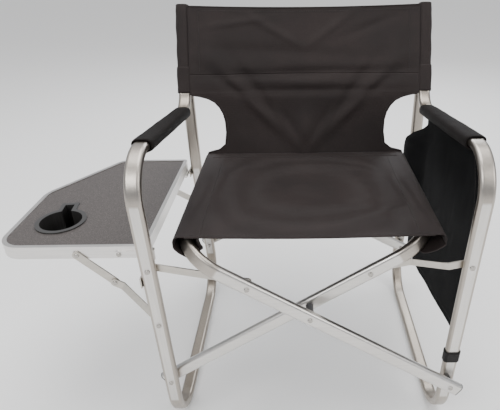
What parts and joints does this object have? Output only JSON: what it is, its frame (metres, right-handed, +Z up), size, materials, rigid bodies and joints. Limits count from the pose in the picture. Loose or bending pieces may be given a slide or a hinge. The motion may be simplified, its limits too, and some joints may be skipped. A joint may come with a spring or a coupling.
{
  "type": "folding camp chair",
  "caption": "Folding camp chair: flat-oval tube side frames, crossed seat tubes, cloth seat and back, side bag, and a hinged side table with a cup holder.",
  "frame": {"origin": "bottom centre of the whole chair's bounding box, on the floor, side table opened", "axes": "+X from the side table towards the bag side, +Y from front to back, +Z up"},
  "size_m": [0.875, 0.5698, 0.7892],
  "materials": {
    "frame_aluminium": "satin",
    "seat_tube_aluminium": "satin",
    "black_plastic": "matte",
    "rivet_steel": "satin",
    "strip_steel": "satin",
    "rim_aluminium": "satin",
    "speckled_board": "fine speckle",
    "black_gloss_plastic": "gloss",
    "seat_fabric": "plain weave",
    "padded_fabric": "plain weave, padded",
    "bag_fabric": "plain weave",
    "strap_webbing": "webbing"
  },
  "bodies": {
    "left_frame": {"left_frame_tube": "frame_aluminium", "left_frame_plugs": "black_plastic", "left_post_rivets": "rivet_steel", "left_arm_pad": "padded_fabric", "left_link_leg_rivet": "rivet_steel", "right_rail_pivots": "rivet_steel", "right_rail_washers": "black_plastic", "hinge_leg_leaves": "strip_steel", "hinge_pins": "rivet_steel", "hinge_leaf_rivets": "rivet_steel", "brace_leg_rivets": "rivet_steel", "brace_bushes": "black_plastic", "back_cloth": "seat_fabric"},
    "right_rail": {"right_rail_tube": "seat_tube_aluminium", "right_rail_plugs": "black_plastic", "right_link_tube_rivet": "rivet_steel"},
    "left_rail": {"left_rail_tube": "seat_tube_aluminium", "left_rail_plugs": "black_plastic", "left_link_tube_rivet": "rivet_steel", "centre_pivots": "rivet_steel", "centre_washers": "black_plastic", "seat_cloth": "seat_fabric"},
    "right_frame": {"right_frame_tube": "frame_aluminium", "right_frame_plugs": "black_plastic", "right_post_rivets": "rivet_steel", "right_arm_pad": "padded_fabric", "right_link_leg_rivet": "rivet_steel", "left_rail_pivots": "rivet_steel", "left_rail_washers": "black_plastic", "bag_panel": "bag_fabric", "bag_pocket": "bag_fabric", "leg_strap": "strap_webbing"},
    "left_link": {"left_link": "strip_steel", "left_link_button": "rivet_steel"},
    "right_link": {"right_link": "strip_steel", "right_link_button": "rivet_steel"},
    "table": {"table_rim": "rim_aluminium", "table_board": "speckled_board", "cup_holder": "black_gloss_plastic", "rim_brackets": "rim_aluminium", "rim_bracket_rivets": "rivet_steel", "hinge_table_leaves": "strip_steel", "brace_rim_rivets": "rivet_steel"},
    "front_brace_lower": {"brace_front_lower": "strip_steel", "brace_front_lower_rivet": "rivet_steel"},
    "front_brace_upper": {"brace_front_upper": "strip_steel", "brace_front_upper_rivet": "rivet_steel"},
    "rear_brace_lower": {"brace_rear_lower": "strip_steel", "brace_rear_lower_rivet": "rivet_steel"},
    "rear_brace_upper": {"brace_rear_upper": "strip_steel", "brace_rear_upper_rivet": "rivet_steel"}
  },
  "joints": [
    {"name": "fold", "type": "hinge", "parent": "left_frame", "child": "right_rail", "pos_m": [-0.1385, -0.23495, 0.14], "axis": [0, -1, 0], "range_deg": [0, 44.89], "deforming": ["seat_cloth", "back_cloth"]},
    {"name": "centre_pivot", "type": "hinge", "parent": "right_rail", "child": "left_rail", "pos_m": [0.1365, -0.25195, 0.31689], "axis": [0, 1, 0], "range_deg": [0, 89.79]},
    {"name": "right_leg_pivot", "type": "hinge", "parent": "left_rail", "child": "right_frame", "pos_m": [0.4115, -0.25195, 0.14], "axis": [0, -1, 0], "range_deg": [0, 44.9]},
    {"name": "left_link_pivot", "type": "hinge", "parent": "left_frame", "child": "left_link", "pos_m": [-0.1385, -0.25895, 0.422], "axis": [0, -1, 0], "range_deg": [0, 87.47]},
    {"name": "right_link_pivot", "type": "hinge", "parent": "right_frame", "child": "right_link", "pos_m": [0.4115, -0.25895, 0.422], "axis": [0, 1, 0], "range_deg": [0, 87.47]},
    {"name": "table_hinge", "type": "hinge", "parent": "left_frame", "child": "table", "pos_m": [-0.1605, -0.00195, 0.397], "axis": [0, -1, 0], "range_deg": [0, 90]},
    {"name": "front_brace_leg_pivot", "type": "hinge", "parent": "left_frame", "child": "front_brace_lower", "pos_m": [-0.1385, -0.24995, 0.297], "axis": [0, -1, 0], "range_deg": [0, 121.65]},
    {"name": "front_brace_rim_pivot", "type": "hinge", "parent": "table", "child": "front_brace_upper", "pos_m": [-0.2875, -0.20495, 0.41], "axis": [0, 1, 0], "range_deg": [0, 109.49]},
    {"name": "rear_brace_leg_pivot", "type": "hinge", "parent": "left_frame", "child": "rear_brace_lower", "pos_m": [-0.1385, 0.20305, 0.297], "axis": [0, -1, 0], "range_deg": [0, 121.65]},
    {"name": "rear_brace_rim_pivot", "type": "hinge", "parent": "table", "child": "rear_brace_upper", "pos_m": [-0.2875, 0.20005, 0.41], "axis": [0, 1, 0], "range_deg": [0, 109.49]}
  ],
  "couplings": [
    {"joint": "centre_pivot", "follows": "fold", "ratio": 2},
    {"joint": "right_leg_pivot", "follows": "fold", "ratio": 1},
    {"joint": "left_link_pivot", "follows": "fold", "ratio": 1.9483},
    {"joint": "right_link_pivot", "follows": "fold", "ratio": 1.9483},
    {"joint": "front_brace_leg_pivot", "follows": "table_hinge", "ratio": 1.3515},
    {"joint": "rear_brace_leg_pivot", "follows": "table_hinge", "ratio": 1.3515},
    {"joint": "front_brace_rim_pivot", "follows": "table_hinge", "ratio": 1.2164},
    {"joint": "rear_brace_rim_pivot", "follows": "table_hinge", "ratio": 1.2164}
  ]
}
